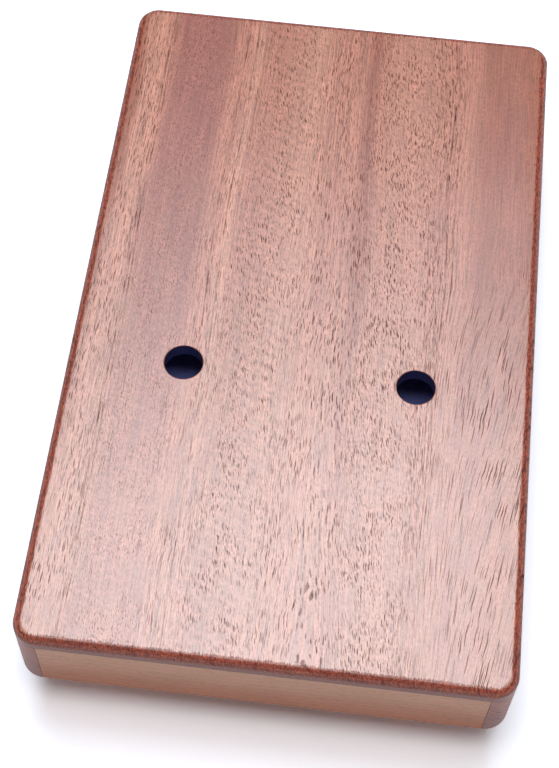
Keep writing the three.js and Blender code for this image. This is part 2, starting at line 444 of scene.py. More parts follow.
@dataclass(frozen=True)
class RibbonBoard:
    """Quarter-sawn red-brown board under satin lacquer, with ribbons, pores and painted shade on its round edge.
    """

    name: str
    half_width: float
    half_length: float
    corner: float
    top: float
    shift: float = 0.0
    # painted shade: how strongly the round edge and the wall below it are darkened
    painted_edge_shade: float = 1.0
    roughness: float = 0.31
    coat_roughness: float = 0.26
    coat_ior: float = 1.7
    relief: float = 0.014
    near_end: tuple[float, float] = (25.0, -75.0)
    scored_side: tuple[float, float] = (24.0, 44.0)
    scored_end: tuple[float, float] = (45.0, -25.0)
    thread_half: float = 0.28
    wall_start: float = 1.7
    wall_end: float = 2.7
    # painted shade: the darkened ring follows an outline with this share of the corner radius
    painted_shade_corner: float = 0.75
    upright: Pores = Pores(0.46, 4.8, 0.38)
    leaning: Pores = Pores(0.52, 3.2, 0.37, 0.2)
    slanted: Pores = Pores(0.46, 3.2, 0.38, 0.1)
    flecks: Pores = Pores(0.38, 1.7, 0.32, 0.14)
    scores: Pores = Pores(0.55, 15.0, 0.34)
    threads: tuple[float, ...] = (-49.2, -48.3, -27.3, -24.6, 35.6, 37.1)
    hairlines: Streaks = Streaks(0.26, 12.0)
    lines: Streaks = Streaks(0.7, 40.0)
    bands: Streaks = Streaks(3.2, 150.0)
    pore: Colour = (0.11, 0.030, 0.024)
    honey: Colour = (0.67, 0.29, 0.175)
    # painted shade: the next three colours darken the round edge and the wall below it, where they turn away from
    # the lamps
    stain_and_edge_shade: Colour = (0.52, 0.105, 0.056)
    painted_shade_dark: Colour = (0.16, 0.024, 0.022)
    wall: Colour = (0.34, 0.105, 0.095)
    ribbons: tuple[Ribbon, ...] = (
        Ribbon(-60.0, BoardTone.RIM, 0.6, 1.0),
        Ribbon(-57.0, BoardTone.RIM, 0.7, 1.0),
        Ribbon(-55.0, BoardTone.TAN, 0.9, 0.9),
        Ribbon(-50.5, BoardTone.TAN, 0.9, 0.7),
        Ribbon(-45.5, BoardTone.DUSK, 0.3, 0.2, flecks=0.7),
        Ribbon(-33.0, BoardTone.DUSK, 0.2, 0.2, flecks=0.7),
        Ribbon(-29.5, BoardTone.ROSE, 0.8, 0.5),
        Ribbon(-26.8, BoardTone.ROSE, 0.9, 0.6),
        Ribbon(-24.0, BoardTone.PALE, 0.9, 0.6),
        Ribbon(-21.5, BoardTone.ROSE, 0.7, 0.4, leaning=0.6),
        Ribbon(-16.0, BoardTone.ROSE, 0.3, 0.1, leaning=1.0, flecks=0.5),
        Ribbon(-11.0, BoardTone.TAN, 0.3, 0.1, leaning=1.0, flecks=0.5),
        Ribbon(-6.0, BoardTone.PALE, 0.5, 0.3, leaning=0.8),
        Ribbon(-2.5, BoardTone.TAN, 0.9, 0.8, leaning=0.2),
        Ribbon(2.0, BoardTone.ROSE, 0.9, 0.9),
        Ribbon(8.0, BoardTone.ROSE, 0.9, 0.8),
        Ribbon(11.5, BoardTone.RUSSET, 0.9, 0.9, slanted=0.3),
        Ribbon(15.0, BoardTone.ROSE, 0.5, 0.3, slanted=0.9, flecks=0.5),
        Ribbon(19.0, BoardTone.TAN, 0.4, 0.2, slanted=1.0, flecks=0.5),
        Ribbon(28.0, BoardTone.TAN, 0.4, 0.2, slanted=1.0, flecks=0.5),
        Ribbon(32.5, BoardTone.ROSE, 0.8, 0.7, slanted=0.5),
        Ribbon(35.8, BoardTone.ROSE, 0.9, 0.6, slanted=0.2),
        Ribbon(39.0, BoardTone.ROSE, 0.6, 0.3, slanted=0.1, flecks=0.15),
        Ribbon(43.5, BoardTone.RUSSET, 0.45, 0.15, flecks=0.15),
        Ribbon(53.0, BoardTone.RUSSET, 0.45, 0.15, flecks=0.15),
        Ribbon(57.0, BoardTone.RIM, 0.6, 0.3),
        Ribbon(60.0, BoardTone.RIM, 0.6, 0.3),
    )

    def build(self) -> bpy.types.Material:
        """Makes the material.

        Returns:
            The material, whose patterns are placed in millimetres of the row frame.
        """
        g = Graph(self.name)
        x, y, z = g.split(g.place_in_mm())
        depth = z - self.top
        across = self._across_fibres(g, x, y) + self.shift
        colour, streaks, kinds, flecks = self._read_ribbons(g, x * 0.6 + across * 0.4, x, y, depth)
        upright, leaning, slanted = g.split(kinds)
        hairlines = self.hairlines.show(g, across, y, depth)
        lines = self.lines.show(g, across, y, depth)
        bands = self.bands.show(g, across, y, depth)
        mottle = g.lumps((x, y, depth), (6.0, 11.0, 6.0), 3.0)
        ripple = self._ripple(g, x, y, depth)
        grit = g.lumps((x, y, depth), (0.5, 0.9, 0.5), 1.0)
        light = (hairlines - 0.5) * 1.7 + (lines - 0.5) * 1.1
        light = light * (streaks * 0.8 + 0.2) + (bands - 0.5) * 0.35 + (mottle - 0.5) * 0.4 + (grit - 0.5) * 0.5
        worms = g.lumps((x + y * 0.4, y - x * 0.3, depth), (1.3, 1.2, 1.0), 3.0, 0.6)
        light = light + (worms - 0.5) * (1.0 - streaks) * 0.75
        near = y.rise(*self.near_end)
        colour = g.mix(near * 0.6, colour, BoardTone.TAN.value)
        patch = g.lumps((across, y, depth), (5.0, 26.0, 5.0), 2.0)
        colour = g.mix(patch.rise(0.42, 0.66) * (near * 0.25 + 0.15), colour, self.honey)
        colour = g.brighten(colour, light + 1.0 - ripple * (leaning * 0.08 + flecks * 0.08))
        sway = g.lumps((x, y, depth), (3.0, 5.0, 3.0), 1.0)
        crooked = across + sway * 0.8
        patchy = (mottle.rise(0.34, 0.60) * 0.65 + 0.35) * (1.0 - near * 0.2)
        pores = self.upright.show(g, crooked, y, depth) * upright
        pores = pores + self.leaning.show(g, crooked, y, depth) * leaning * (ripple * 0.5 + 0.5)
        pores = pores + self.slanted.show(g, crooked, y, depth) * slanted * (ripple * 0.3 + 0.7)
        pores = pores + self.flecks.show(g, crooked, y, depth) * flecks
        scored = self.scores.show(g, crooked, y, depth) * (x.rise(*self.scored_side) * 0.7 + 0.3)
        pores = pores + scored * y.rise(*self.scored_end)
        broken = g.lumps((across, y, depth), (1.5, 7.0, 1.0), 2.0).rise(0.40, 0.58)
        for place in self.threads:
            pores = pores + (1.0 - abs(across - place) / self.thread_half).over(0.0) * broken * 0.7
        outside = self._past_edge(x, y, self.corner)
        below = z.rise(self.top - self.wall_start, self.top - self.wall_end)
        wall = below * outside.rise(-0.5, -0.1)
        pores = (pores * patchy * (1.0 - wall)).clamp()
        # painted shade on the round edge and the wall below it
        past_shade_outline = self._past_edge(x, y, self.corner * self.painted_shade_corner)
        colour, ring = self._painted_edge_shade(g, x, y, z, past_shade_outline, wall, lines, colour)
        rough = self.roughness + (hairlines - 0.5) * 0.12 - ring * 0.05
        height = (hairlines * 0.35 + mottle * 0.25 - pores * 0.9 + ripple * 0.1) * (1.0 - wall)
        relief = g.bump(height, self.relief)
        lacquered = g.principled(
            Base_Color=colour, Roughness=rough, IOR=WOOD_IOR, Normal=relief,
            Coat_Weight=1.0 - (ring + wall).clamp() * 0.8, Coat_Roughness=self.coat_roughness,
            Coat_IOR=self.coat_ior,
        )
        hollow = g.principled(Base_Color=self.pore, Roughness=0.9, Specular_IOR_Level=0.0, Normal=relief)
        return g.end(g.mix_shaders(pores * 0.95, lacquered, hollow))

    def _past_edge(self, x: Socket, y: Socket, corner: float) -> Socket:
        """How far a place lies outside the board's outline, in millimetres, and below 0 inside it.

        Args:
            x: Place across the box.
            y: Place along the box.
            corner: The radius that the outline's corners are given.

        Returns:
            The distance.
        """
        past_x = (abs(x) - (self.half_width - corner)).over(0.0)
        past_y = (abs(y) - (self.half_length - corner)).over(0.0)
        return (past_x * past_x + past_y * past_y) ** 0.5 - corner

    def _read_ribbons(
        self, g: Graph, straight: Socket, x: Socket, y: Socket, depth: Socket
    ) -> tuple[Socket, Socket, Socket, Socket]:
        """Reads the ribbons at a place.

        Args:
            g: The material's nodes.
            straight: Place across the ribbons.
            x: Place across the box.
            y: Place along the box.
            depth: Place through the board.

        Returns:
            The ribbon's colour, its streaks, its three kinds of pore as one colour, and its flecks.
        """
        wander = g.lumps((x, y, depth), (22.0, 60.0, 22.0), 2.0) - 0.5
        place = (straight + wander * 3.5) / BOARD_WIDTH + 0.5
        tones = [(r.share, (*r.tone.value, r.streaks)) for r in self.ribbons]
        kinds = [(r.share, (r.upright, r.leaning, r.slanted, r.flecks)) for r in self.ribbons]
        made = [g.node("ShaderNodeValToRGB", {"stops": stops}, {"Fac": place}) for stops in (tones, kinds)]
        return tuple(Socket(g, ramp.outputs[name]) for ramp in made for name in ("Color", "Alpha"))

    @staticmethod
    def _across_fibres(g: Graph, x: Socket, y: Socket) -> Socket:
        """Place across the fibres, which fan out from a straight line along the box.

        Args:
            g: The material's nodes.
            x: Place across the box.
            y: Place along the box.

        Returns:
            A number that stays the same along a fibre.
        """
        lean = x.rise(4.0, 14.0) * x.rise(41.0, 27.0) * 0.05
        fan = x.rise(29.0, 47.0) * (12.0 - y).over(0.0) * 0.17
        wave = g.lumps((x, y, 0.0), (30.0, 55.0, 1.0), 1.0) - 0.5
        return x + lean * y + fan + wave * 3.0

    @staticmethod
    def _ripple(g: Graph, x: Socket, y: Socket, depth: Socket) -> Socket:
        """The rippled figure that crosses the fibres in broken slanting rows, from 0 to 1."""
        bend = g.lumps((x, y, depth), (5.0, 7.0, 5.0), 2.0) * 11.0
        return g.math("SINE", y * 1.85 + x * 0.8 + bend) * 0.5 + 0.5

    def _painted_edge_shade(
        self, g: Graph, x: Socket, y: Socket, z: Socket, outside: Socket, wall: Socket, lines: Socket,
        colour: Socket,
    ) -> tuple[Socket, Socket]:
        """Painted shade on the round edge and the wall below it: a dark ring stands in for the edge turning away
        from the lamps and missing the lacquer's sheen, and its speckle is the wood's own texture.

        Args:
            g: The material's nodes.
            x: Place across the box.
            y: Place along the box.
            z: Height.
            outside: How far the place lies outside the outline.
            wall: 1 on the wall below the round edge, and 0 above it.
            lines: Fine streaks.
            colour: The board's colour so far.

        Returns:
            The colour with the ring, and how strong the ring is.
        """
        speckle = g.lumps((x, y, z), (0.4, 1.1, 0.4), 3.0, 0.7)
        blotch = g.lumps((x, y, z), (5.0, 9.0, 3.0), 2.0)
        bleed = g.lumps((x, y, 0.0), (0.35, 2.6, 1.0), 2.0, 0.6)
        # painted shade: the ring darkens the round edge, speckled like the wood
        ring = (outside + blotch * 0.8 + bleed * 1.9).rise(-0.85, -0.50) * self.painted_edge_shade
        stain_and_edge_shade = g.mix(speckle.rise(0.42, 0.58), self.painted_shade_dark, self.stain_and_edge_shade)
        stain_and_edge_shade = g.brighten(stain_and_edge_shade, 0.75 + blotch * 0.5 + (lines - 0.5) * 0.4)
        colour = g.mix(ring * 0.9, colour, stain_and_edge_shade)
        # painted shade: the wall below the round edge is darkened too
        side = g.brighten(g.mix(speckle * 0.5, self.wall, self.painted_shade_dark), 0.75 + lines * 0.5)
        return g.mix(wall * 0.85, colour, side), ring


@dataclass(frozen=True)
class PlainWood:
    """A plainer wood, for the rails, bridges and block. It can carry painted shade towards its lower side and
    painted light towards its upper side.
    """

    name: str
    light: Colour
    dark: Colour
    pore: Colour
    way: GrainWay = GrainWay.ALONG_BOX
    pores: float = 0.5
    streaks: float = 0.5
    roughness: float = 0.45
    coat: float = 0.2
    coat_roughness: float = 0.2
    relief: float = 0.02
    end_darkening: float = 0.35
    # painted shade and light: between these two heights the colour is multiplied from a darker tint at the bottom
    # to a lighter one at the top
    painted_shade_heights: tuple[float, float] = (0.0, 0.0)
    painted_shade_low: Colour = WHITE
    painted_light_high: Colour = WHITE
    dashes: Pores = Pores(0.7, 3.6, 0.32)
    hairlines: Streaks = Streaks(0.4, 34.0)
    bands: Streaks = Streaks(1.9, 90.0)

    def build(self) -> bpy.types.Material:
        """Makes the material.

        Returns:
            The material.
        """
        g = Graph(self.name)
        x, y, z = g.split(g.place_in_mm())
        along, across = (x, y) if self.way is GrainWay.ACROSS_BOX else (y, x)
        wander = g.lumps((across, along, z), (18.0, 60.0, 18.0), 1.0) - 0.5
        across = across + wander * 2.5
        fine = self.hairlines.show(g, across, along, z)
        broad = self.bands.show(g, across, along, z)
        rings = g.math("SINE", (z + across * 0.22 + wander * 6.0) * 2.6) * 0.5 + 0.5
        tone = (fine * 0.4 + broad * 0.35 + rings * 0.25 - 0.5) * (1.5 * self.streaks) + 0.5
        colour = g.mix(tone.clamp(), self.light, self.dark)
        dashes = self.dashes.show(g, across, along, z)
        colour = g.mix(dashes * self.pores, colour, self.pore)
        nx, ny, _ = g.split(g.read("ShaderNodeTexCoord", "Normal"))
        end_grain = abs(nx if self.way is GrainWay.ACROSS_BOX else ny).rise(0.6, 0.95)
        speckle = g.lumps((x, y, z), (0.5, 0.5, 0.5), 2.0, 0.6)
        colour = g.brighten(colour, 1.0 - end_grain * (self.end_darkening * (0.7 + speckle * 0.6)))
        blotch = g.lumps((x, y, z), (14.0, 14.0, 9.0), 2.0)
        colour = g.brighten(colour, 0.9 + blotch * 0.2)
        # painted shade towards the bottom and painted light towards the top, standing in for the shade near the
        # floor and the lit upper edge
        if self.painted_shade_heights[1] > self.painted_shade_heights[0]:
            painted_shading = g.mix(z.rise(*self.painted_shade_heights), self.painted_shade_low, self.painted_light_high)
            colour = g.vector("MULTIPLY", colour, painted_shading)
        rough = self.roughness + (fine - 0.5) * 0.12 + dashes * 0.12
        relief = g.bump(fine * 0.5 - dashes * 0.8 + speckle * 0.2, self.relief)
        return g.end(g.principled(
            Base_Color=colour, Roughness=rough, IOR=WOOD_IOR, Normal=relief,
            Coat_Weight=self.coat, Coat_Roughness=self.coat_roughness,
        ))


@dataclass(frozen=True)
class HoleShadePaint:
    """Painted shade in the finger holes: a near-black blue on their walls, and a blue on the face's inner side
    that shows through them, so that the holes show as bluish-black shade.
    """

    name: str = "painted_hole_shade"
    # painted shade: the near-black of the finger-hole walls
    colour: Colour = (0.036, 0.038, 0.16)
    relief: float = 0.02

    def build(self) -> bpy.types.Material:
        """Makes the material.

        Returns:
            The material.
        """
        g = Graph(self.name)
        brush = g.noise(g.place_in_mm(), scale=1.6, detail=3.0)
        return g.end(g.principled(
            Base_Color=g.brighten(self.colour, 0.7 + brush * 0.6), Roughness=0.32 + brush * 0.15, IOR=WOOD_IOR,
            Normal=g.bump(brush, self.relief),
        ))


class Polish(Enum):
    """How a metal surface was finished, as its roughness and the depth of its marks in millimetres."""

    BRUSHED = (0.30, 0.004)
    POLISHED = (0.14, 0.0015)
    TURNED = (0.26, 0.004)


@dataclass(frozen=True)
class Steel:
    """Bare steel with marks of its making, faint handling stains and tiny pits."""

    name: str
    colour: Colour
    polish: Polish
    marks: Point
    stain_and_edge_shade: Colour = (0.24, 0.19, 0.15)

    def build(self) -> bpy.types.Material:
        """Makes the material.

        Returns:
            The material, whose marks are long in the largest of the three sizes.
        """
        g = Graph(self.name)
        place = g.split(g.place_in_mm())
        roughness, depth = self.polish.value
        mark = g.lumps(place, self.marks, 3.0, 0.6)
        haze = g.lumps(place, (6.0, 8.0, 4.0), 3.0)
        pit = g.lumps(place, (0.35, 0.35, 0.35), 1.0).rise(0.72, 0.8)
        colour = g.brighten(self.colour, 0.88 + mark * 0.16 + haze * 0.08)
        colour = g.mix(pit * 0.35 + haze.rise(0.6, 0.8) * 0.08, colour, self.stain_and_edge_shade)
        rough = roughness + (mark - 0.5) * 0.16 + (haze - 0.5) * 0.14 + pit * 0.2
        relief = g.bump(mark - pit * 0.6, depth)
        return g.end(g.principled(Base_Color=colour, Metallic=1.0, Roughness=rough, Normal=relief))


@dataclass(frozen=True)
class PaleFloor:
    """A white sweep of paper that shows white to the camera and keeps the shadow. Lengths are millimetres."""

    name: str = "pale_floor"
    colour: Colour = (0.86, 0.86, 0.87)
    seen: Colour = (1.70, 1.71, 1.80)
    fade: tuple[float, float] = (280.0, 620.0)
    box_half_width: tuple[float, float] = (58.0, 50.0)
    box_half_length: tuple[float, float] = (98.0, 90.0)

    def build(self) -> bpy.types.Material:
        """Makes the material.

        Returns:
            The material, which is clear from below so that the underside can be looked at and lit.
        """
        g = Graph(self.name)
        place = g.place_in_mm()
        x, y, _ = g.split(place)
        far = ((x * x + y * y) ** 0.5).rise(*self.fade)
        under_box = abs(x).rise(*self.box_half_width) * abs(y).rise(*self.box_half_length)
        tooth = g.noise(place, scale=0.9, detail=2.0)
        paper, seen = (
            g.read("ShaderNodeBsdfDiffuse", "BSDF", values={"Color": g.brighten(c, 0.99 + tooth * 0.02)})
            for c in (self.colour, self.seen))
        white = g.read("ShaderNodeEmission", "Emission", values={"Color": (*WHITE, 1.0), "Strength": 1.0})
        clear = g.read("ShaderNodeBsdfTransparent", "BSDF")
        camera_ray = g.rays("Camera")
        backside = g.read("ShaderNodeNewGeometry", "Backfacing")
        backdrop = far * g.rays("Camera", "Glossy", "Transmission") * g.unbounced()
        lit = g.mix_shaders(backdrop, g.mix_shaders(camera_ray, paper, seen), white)
        passing = (g.rays("Shadow") + g.rays("Glossy") * under_box) * g.unbounced()
        see_through = (camera_ray * backside + passing).clamp()
        return g.end(g.mix_shaders(see_through, lit, clear))


# Meshes


@dataclass(frozen=True)
class Span:
    """A CAD node's box at rest, in millimetres."""

    low: Vector
    high: Vector

    @classmethod
    def of(cls, node: str) -> "Span":
        """The box of a CAD node."""
        low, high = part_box(node)
        return cls(low / MM, high / MM)

    @property
    def centre(self) -> Vector:
        """The box's middle."""
        return (self.low + self.high) / 2.0

    @property
    def size(self) -> Vector:
        """The box's width, length and height."""
        return self.high - self.low


class Shell:
    """A mesh in the making, in millimetres of the row frame."""

    def __init__(self) -> None:
        """Starts with no vertices."""
        self.mesh = bmesh.new()

    def skin(self, rings: Sequence[Sequence[Point]]) -> "Shell":
        """Joins rings of points with faces, and closes both ends.

        Args:
            rings: Rings with the same number of points each.

        Returns:
            The shell itself.
        """
        made = [[self.mesh.verts.new(point) for point in points] for points in rings]
        for lower, upper in zip(made, made[1:]):
            for side in range(len(lower)):
                beside = (side + 1) % len(lower)
                self.mesh.faces.new((lower[side], lower[beside], upper[beside], upper[side]))
        self.mesh.faces.new(tuple(reversed(made[0])))
        self.mesh.faces.new(tuple(made[-1]))
        return self

    def to_object(self, name: str, materials: Sequence[bpy.types.Material]) -> bpy.types.Object:
        """Ends the mesh and links it to the scene, in metres.

        Args:
            name: The object's name.
            materials: Its materials.

        Returns:
            The object, smooth-shaded. soften_edges() marks its sharp edges.
        """
        bmesh.ops.remove_doubles(self.mesh, verts=self.mesh.verts, dist=1e-5)
        bmesh.ops.recalc_face_normals(self.mesh, faces=self.mesh.faces)
        self.mesh.transform(Matrix.Scale(MM, 4))
        data = bpy.data.meshes.new(name)
        self.mesh.to_mesh(data)
        self.mesh.free()
        data.polygons.foreach_set("use_smooth", [True] * len(data.polygons))
        made = bpy.data.objects.new(name, data)
        bpy.context.scene.collection.objects.link(made)
        for material in materials:
            data.materials.append(material)
        return made


def circle(radius: float, count: int) -> list[tuple[float, float]]:
    """Points of a circle round 0, anticlockwise."""
    return [(radius * math.cos(a), radius * math.sin(a)) for a in (math.tau * i / count for i in range(count))]


def quarter(steps: int) -> list[float]:
    """Angles from 0 to a quarter turn, in radians."""
    return [QUARTER_TURN * step / steps for step in range(steps + 1)]


def rounded_outline(width: float, length: float, radius: float, z: float, segments: int = 22) -> list[Point]:
    """A rectangle with round corners, centred on 0.

    Args:
        width: Its size along X.
        length: Its size along Y.
        radius: Radius of its corners.
        z: Its height.
        segments: How many pieces each corner has.

    Returns:
        Its points, anticlockwise from above.
    """
    points = []
    for corner in range(4):
        across = 1 if corner in (0, 3) else -1
        along = 1 if corner < 2 else -1
        for step in range(segments + 1):
            angle = (corner + step / segments) * QUARTER_TURN
            points.append((
                across * (width / 2.0 - radius) + radius * math.cos(angle),
                along * (length / 2.0 - radius) + radius * math.sin(angle), z,
            ))
    return points


def slab_shell(
    width: float, length: float, radius: float, bottom: float, top: float,
    lower_round: float = 0.0, upper_round: float = 0.0, segments: int = 10,
) -> Shell:
    """A board with round corners and rounded edges, centred on X = Y = 0.

    Args:
        width: Its size along X.
        length: Its size along Y.
        radius: Radius of its corners in plan.
        bottom: Height of its lower side.
        top: Height of its upper side.
        lower_round: Radius of its lower edge.
        upper_round: Radius of its upper edge.
        segments: How many pieces each rounded edge has.

    Returns:
        The board.
    """
    levels: list[tuple[float, float]] = []
    for rounding, edge, sign in ((lower_round, bottom, 1.0), (upper_round, top, -1.0)):
        part = [(0.0, edge)]
        if rounding > 0.0:
            part = [(rounding + 0.3, edge)]
            part += [(rounding * (1.0 - math.sin(a)), edge + sign * rounding * (1.0 - math.cos(a)))
                     for a in quarter(segments)]
        levels += part if sign > 0.0 else list(reversed(part))
    return Shell().skin([
        rounded_outline(width - 2 * inset, length - 2 * inset, max(radius - inset, 0.05), z)
        for inset, z in levels])


class Axis(Enum):
    """Which way a turned solid stands."""

    ACROSS = "X"
    UPRIGHT = "Z"


def lathe_shell(profile: Sequence[tuple[float, float]], centre: Point, axis: Axis, segments: int) -> Shell:
    """A turned solid.

    Args:
        profile: Radius and place along the axis of each ring, from its start to its end.
        centre: Where place 0 of the axis is.
        axis: Its axis.
        segments: How many sides it has.

    Returns:
        The solid.
    """
    rings = []
    for radius, place in profile:
        ring = []
        for a, b in circle(max(radius, 1e-3), segments):
            local = (place, a, b) if axis is Axis.ACROSS else (a, b, place)
            ring.append(tuple(c + l for c, l in zip(centre, local)))
        rings.append(ring)
    return Shell().skin(rings)


def box_shell(low: Point, high: Point) -> Shell:
    """A plain block, used to cut other pieces."""
    (x0, y0, z0), (x1, y1, z1) = low, high
    return Shell().skin([[(x0, y0, z), (x1, y0, z), (x1, y1, z), (x0, y1, z)] for z in (z0, z1)])


class Cut(Enum):
    """What a cutter does: it is taken away, or only what lies inside it is kept."""

    TAKE_AWAY = "DIFFERENCE"
    KEEP_INSIDE = "INTERSECT"


def carve(piece: bpy.types.Object, cutters: Sequence[bpy.types.Object], way: Cut = Cut.TAKE_AWAY) -> None:
    """Cuts a piece with others, which are then deleted.

    Args:
        piece: The piece to cut.
        cutters: What cuts it.
        way: How they cut.
    """
    for cutter in cutters:
        modifier = piece.modifiers.new("cut", "BOOLEAN")
        modifier.operation = way.value
        modifier.solver = "EXACT"
        modifier.material_mode = "TRANSFER"
        modifier.object = cutter
    graph = bpy.context.evaluated_depsgraph_get()
    graph.update()
    cut = bpy.data.meshes.new_from_object(piece.evaluated_get(graph))
    piece.modifiers.clear()
    old = piece.data
    cut.name = piece.name
    piece.data = cut
    bpy.data.meshes.remove(old)
    for cutter in cutters:
        bpy.data.meshes.remove(cutter.data)


FLAT_AREA = 250.0


def soften_edges(piece: bpy.types.Object, sharp_degrees: float = 34.0) -> None:
    """Marks the edges that stay sharp in smooth shading, those round faces above FLAT_AREA among them.

    Args:
        piece: The piece.
        sharp_degrees: Edges that turn more than this are sharp.
    """
    mesh = bmesh.new()
    mesh.from_mesh(piece.data)
    for face in mesh.faces:
        face.smooth = True
    for edge in mesh.edges:
        large = any(face.calc_area() > FLAT_AREA * MM * MM for face in edge.link_faces)
        edge.smooth = not large and math.degrees(edge.calc_face_angle(0.0)) < sharp_degrees
    mesh.to_mesh(piece.data)
    mesh.free()


def report(piece: bpy.types.Object) -> None:
    """Logs one finished piece."""
    log.info("%s: %d vertices, %d faces", piece.name, len(piece.data.vertices), len(piece.data.polygons))


def settle(piece: bpy.types.Object, node: str) -> None:
    """Puts a piece of the box in place of a CAD node.

    Args:
        piece: The piece.
        node: The CAD node that it stands for.
    """
    soften_edges(piece)
    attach(piece, "box")
    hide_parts(node)
    report(piece)


# Sub-assemblies


@dataclass
class SoundBox:
    """The hollow box: back plate, four rails, face plate and the screw block inside. Lengths are millimetres."""

    corner_radius: float = 6.0
    back_round: float = 2.2
    rail_round: float = 1.0
    rabbet_radius: float = 4.0
    finger_hole: float = 10.0
    finger_spacing: float = 60.0
    finger_y: float = -20.0
    rim_round: float = 0.28
    sound_hole: float = 34.0
    sound_hole_y: float = -52.0
    sound_hole_chamfer: float = 0.8
    screw_hole: float = 2.6
    pocket_gap: float = 0.1
    past_side: float = 70.0
    past_end: float = 110.0
    back: Span = field(default_factory=lambda: Span.of("back_plate"))
    face: Span = field(default_factory=lambda: Span.of("face_plate"))
    end_rail: Span = field(default_factory=lambda: Span.of("end_rail_near"))
    side_rail: Span = field(default_factory=lambda: Span.of("side_rail_right"))

    def build(self) -> None:
        """Makes and dresses every piece of the box."""
        self._back_plate()
        self._face_plate()
        self._rails()
        self._screw_block()

    def _board_finish(self, name: str, shift: float, stain_and_edge_shade: float) -> RibbonBoard:
        """The ribbon-figured finish for one of the two plates, with painted shade on its round edge at the
        strength given last.
        """
        return RibbonBoard(
            name, self.back.high.x, self.back.high.y, self.corner_radius, self.back.high.z,
            shift=shift, painted_edge_shade=stain_and_edge_shade,
        )

    def _back_plate(self) -> None:
        """The lacquered back with its round edge and two finger holes."""
        # painted shade at full strength on the back plate's round edge
        wood = self._board_finish("lacquered_back", 0.0, 1.0).build()
        hole_shade = HoleShadePaint().build()
        size, top = self.back.size, self.back.high.z
        plate = slab_shell(
            size.x, size.y, self.corner_radius, self.back.low.z, top, upper_round=self.back_round,
        ).to_object("back_plate_lacquered", [wood, hole_shade])
        radius, rim = self.finger_hole / 2.0, self.rim_round
        profile = [(radius, self.back.low.z - 1.0), (radius, top - rim - 0.05)]
        profile += [(radius + rim * (1 - math.cos(a)), top - rim + rim * math.sin(a)) for a in quarter(5)]
        profile += [(radius + rim, top + 1.0)]
        cutters = []
        for x in (-self.finger_spacing / 2.0, self.finger_spacing / 2.0):
            cutter = lathe_shell(profile, (x, self.finger_y, 0.0), Axis.UPRIGHT, 72)
            cutter = cutter.to_object("finger_cut", [wood, hole_shade])
            # painted shade: the hole walls below the rim get the near-black
            for face in cutter.data.polygons:
                face.material_index = 1 if face.center.z < (top - rim * 0.6) * MM else 0
            cutters.append(cutter)
        carve(plate, cutters)
        settle(plate, "back_plate")

    def _face_plate(self) -> None:
        """The face with its sound hole and the holes that the screws pass through."""
        wood = self._board_finish("face_wood", 17.0, 0.0).build()
        # painted shade: the face's inner side is blue, standing in for the bluish shade seen through the finger
        # holes
        inside = HoleShadePaint("painted_inside_shade", (0.30, 0.34, 0.95)).build()
        size, low, high = self.face.size, self.face.low.z, self.face.high.z
        plate = slab_shell(
            size.x, size.y, self.rabbet_radius, low, high, lower_round=0.25, segments=4,
        ).to_object("face_plate_board", [wood, inside])
        radius, chamfer = self.sound_hole / 2.0, self.sound_hole_chamfer
        profile = [
            (radius + chamfer + 1.0, low - 1.0), (radius + chamfer, low),
            (radius + chamfer * 0.45, low + chamfer * 0.3), (radius + chamfer * 0.12, low + chamfer * 0.7),
            (radius, low + chamfer * 1.3), (radius, high + 1.0),
        ]
        cutter = lathe_shell(profile, (0.0, self.sound_hole_y, 0.0), Axis.UPRIGHT, 112)
        cutters = [cutter.to_object("sound_cut", [wood])]
        for number in range(1, 5):
            place = Span.of(f"pressure_screw_{number}").centre
            drill = [(self.screw_hole / 2.0, low - 1.0), (self.screw_hole / 2.0, high + 1.0)]
            cutter = lathe_shell(drill, (place.x, place.y, 0.0), Axis.UPRIGHT, 24)
            cutters.append(cutter.to_object("drill", [wood]))
        carve(plate, cutters)
        # painted shade: the inner side gets the blue
        for face in plate.data.polygons:
            if face.center.z > (high - 0.01) * MM:
                face.material_index = 1
        settle(plate, "face_plate")

    def _rails(self) -> None:
        """Two darker side rails and two pale end rails between them."""
        low, high = painted_shade_heights = self.side_rail.low.z, self.side_rail.high.z
        # painted shade and light: both rail woods darken towards the floor and lighten towards the top
        side = PlainWood(
            "side_wood", (0.62, 0.245, 0.21), (0.46, 0.165, 0.14), (0.18, 0.05, 0.042),
            pores=0.5, streaks=0.5, roughness=0.42, coat=0.1, end_darkening=0.15,
            painted_shade_heights=painted_shade_heights, painted_shade_low=(0.68, 0.60, 0.60), painted_light_high=(1.12, 1.12, 1.12),
        ).build()
        end = PlainWood(
            "end_wood", (0.76, 0.40, 0.24), (0.60, 0.29, 0.16), (0.40, 0.18, 0.09),
            way=GrainWay.ACROSS_BOX, pores=0.3, streaks=0.75, roughness=0.42, coat=0.15,
            painted_shade_heights=painted_shade_heights, painted_shade_low=(0.80, 0.42, 0.25), painted_light_high=(1.19, 1.14, 1.25),
        ).build()
        inner, wide, long = self.side_rail.low.x, self.past_side, self.past_end
        left, right = self.end_rail.low.x, self.end_rail.high.x
        shoulder = self.back.high.y - self.end_rail.size.y
        parts = {
            "side_rail_left": ((-wide, -long), (-inner, long), side, "side_wood"),
            "side_rail_right": ((inner, -long), (wide, long), side, "side_wood"),
            "end_rail_near": ((left, -long), (right, -shoulder), end, "end_wood"),
            "end_rail_far": ((left, shoulder), (right, long), end, "end_wood"),
        }
        for node, ((x0, y0), (x1, y1), material, slot) in parts.items():
            size = self.back.size
            rail = slab_shell(
                size.x, size.y, self.corner_radius, low, high, lower_round=self.rail_round, segments=6,
            ).to_object(f"{node}_board", [material])
            keep = box_shell((x0, y0, low - 5.0), (x1, y1, high + 5.0)).to_object("keep", [material])
            carve(rail, [keep], Cut.KEEP_INSIDE)
            carve(rail, [self._pocket(material)])
            settle(rail, node)

